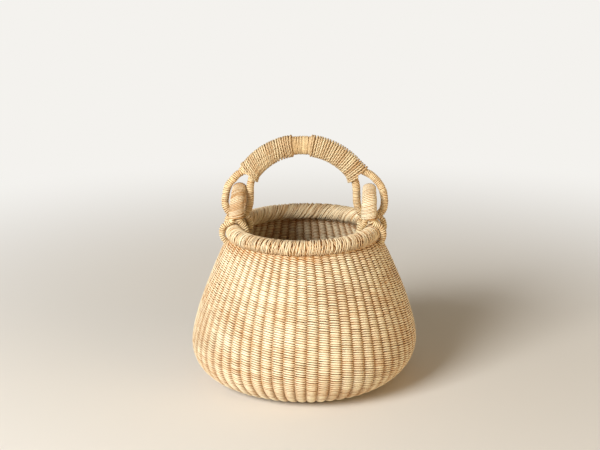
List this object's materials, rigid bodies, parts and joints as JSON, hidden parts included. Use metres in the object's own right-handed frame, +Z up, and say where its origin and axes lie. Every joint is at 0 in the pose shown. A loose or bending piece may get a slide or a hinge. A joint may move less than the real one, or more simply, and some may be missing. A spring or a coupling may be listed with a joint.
{
  "type": "handled basket",
  "caption": "Round pot-shaped straw basket with a wrapped rim and a lashed rope carrying handle that swings in rope ears.",
  "frame": {"origin": "centre of the flat underside", "axes": "+Z up through the middle of the mouth, +X towards the right ear, so the handle's arch spans X and its front side faces -Y"},
  "size_m": [0.246, 0.2456, 0.2659],
  "materials": {
    "straw_weave": "woven natural straw, matte",
    "straw_bundle": "loose straw bundle, matte",
    "straw_wrap": "fine straw wrapping, slight sheen",
    "straw_rope": "straw rope, slight sheen",
    "straw_cord": "twisted straw cord, slight sheen"
  },
  "bodies": {
    "basket": {"woven_body": "straw_weave", "rim_bundle": "straw_bundle", "rim_wrap": "straw_wrap", "ear_rope_left": "straw_rope", "ear_rope_right": "straw_rope", "ear_binding_left": "straw_wrap", "ear_binding_right": "straw_wrap"},
    "handle": {"handle_rope": "straw_rope", "grip_wrap": "straw_wrap", "grip_lashing_left": "straw_cord", "grip_lashing_right": "straw_cord"}
  },
  "joints": [
    {"name": "handle_swing", "type": "hinge", "parent": "basket", "child": "handle", "pos_m": [0, 0, 0.1765], "axis": [1, 0, 0], "range_deg": [-82, 82]}
  ]
}
